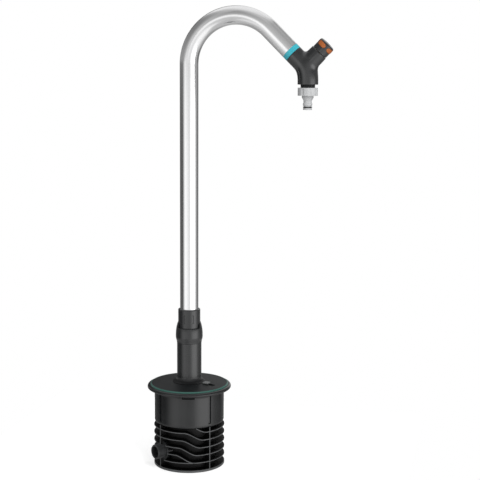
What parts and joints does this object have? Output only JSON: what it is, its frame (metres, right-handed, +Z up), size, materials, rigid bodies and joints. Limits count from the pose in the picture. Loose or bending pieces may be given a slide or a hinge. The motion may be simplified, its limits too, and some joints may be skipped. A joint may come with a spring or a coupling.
{
  "type": "garden tap",
  "caption": "Garden tap: finned ground box with side inlet, plug-in column, bent aluminium spout, Y-shaped head with regulating knob and quick-coupling outlet.",
  "frame": {"origin": "centre of the ground box's underside, on the column's axis", "axes": "+Z up along the column, +X towards the outlet"},
  "size_m": [0.3313, 0.1522, 0.8273],
  "materials": {
    "box_plastic": "moulded black plastic, fine satin",
    "lid_plastic": "moulded dark grey plastic, satin",
    "column_plastic": "moulded dark grey plastic, satin",
    "head_plastic": "moulded dark grey plastic, satin",
    "teal_trim": "dark teal moulding",
    "teal_ring": "bright teal moulding",
    "aluminium_tube": "brushed and clear anodised",
    "orange_grip": "soft orange grip",
    "grey_plastic": "light grey moulding",
    "white_plastic": "natural acetal",
    "seal_rubber": "black nitrile rubber",
    "steel": "stainless steel",
    "brass": "turned brass",
    "ceramic": "ground alumina"
  },
  "bodies": {
    "stand": {"ground_box": "box_plastic", "lid": "lid_plastic", "lid_ring": "teal_trim", "inlet_connector": "box_plastic", "inlet_lock_nut": "box_plastic", "inlet_o_ring": "seal_rubber", "valve_socket": "box_plastic", "socket_screws": "steel", "stop_plunger": "white_plastic", "stop_seal": "seal_rubber", "stop_spring": "steel", "latch_keeper": "lid_plastic", "keeper_screws": "steel", "latch_springs": "steel", "column": "column_plastic", "riser_pipe": "column_plastic", "riser_o_rings": "seal_rubber", "riser_gasket": "seal_rubber", "tube_plug": "column_plastic", "tube_o_rings": "seal_rubber", "clamp_ring": "white_plastic", "union_nut": "column_plastic", "grip_sleeve": "column_plastic", "spout_tube": "aluminium_tube", "outlet_ring": "teal_ring", "spout_insert": "column_plastic", "insert_o_rings": "seal_rubber", "valve_body": "head_plastic", "seat_washer": "seal_rubber", "valve_cartridge": "brass", "fixed_disc": "ceramic", "spindle_o_ring": "seal_rubber", "tap_adapter": "grey_plastic", "adapter_washer": "seal_rubber", "nipple_o_ring": "seal_rubber"},
    "knob": {"knob": "head_plastic", "knob_grips": "orange_grip", "knob_screw": "steel", "knob_cap": "head_plastic", "spindle": "brass", "turning_disc": "ceramic"},
    "latch": {"latch_slider": "lid_plastic"}
  },
  "joints": [
    {"name": "knob_turn", "type": "hinge", "parent": "stand", "child": "knob", "pos_m": [0.21192, 0, 0.72788], "axis": [0.7071, 0, 0.7071], "range_deg": [0, 90]},
    {"name": "latch_slide", "type": "slide", "parent": "stand", "child": "latch", "axis": [0.9511, -0.309, 0], "range_m": [0, 0.006], "stiffness_N_per_m": 600, "springref_m": -0.003, "deforming": ["latch_springs"]}
  ]
}
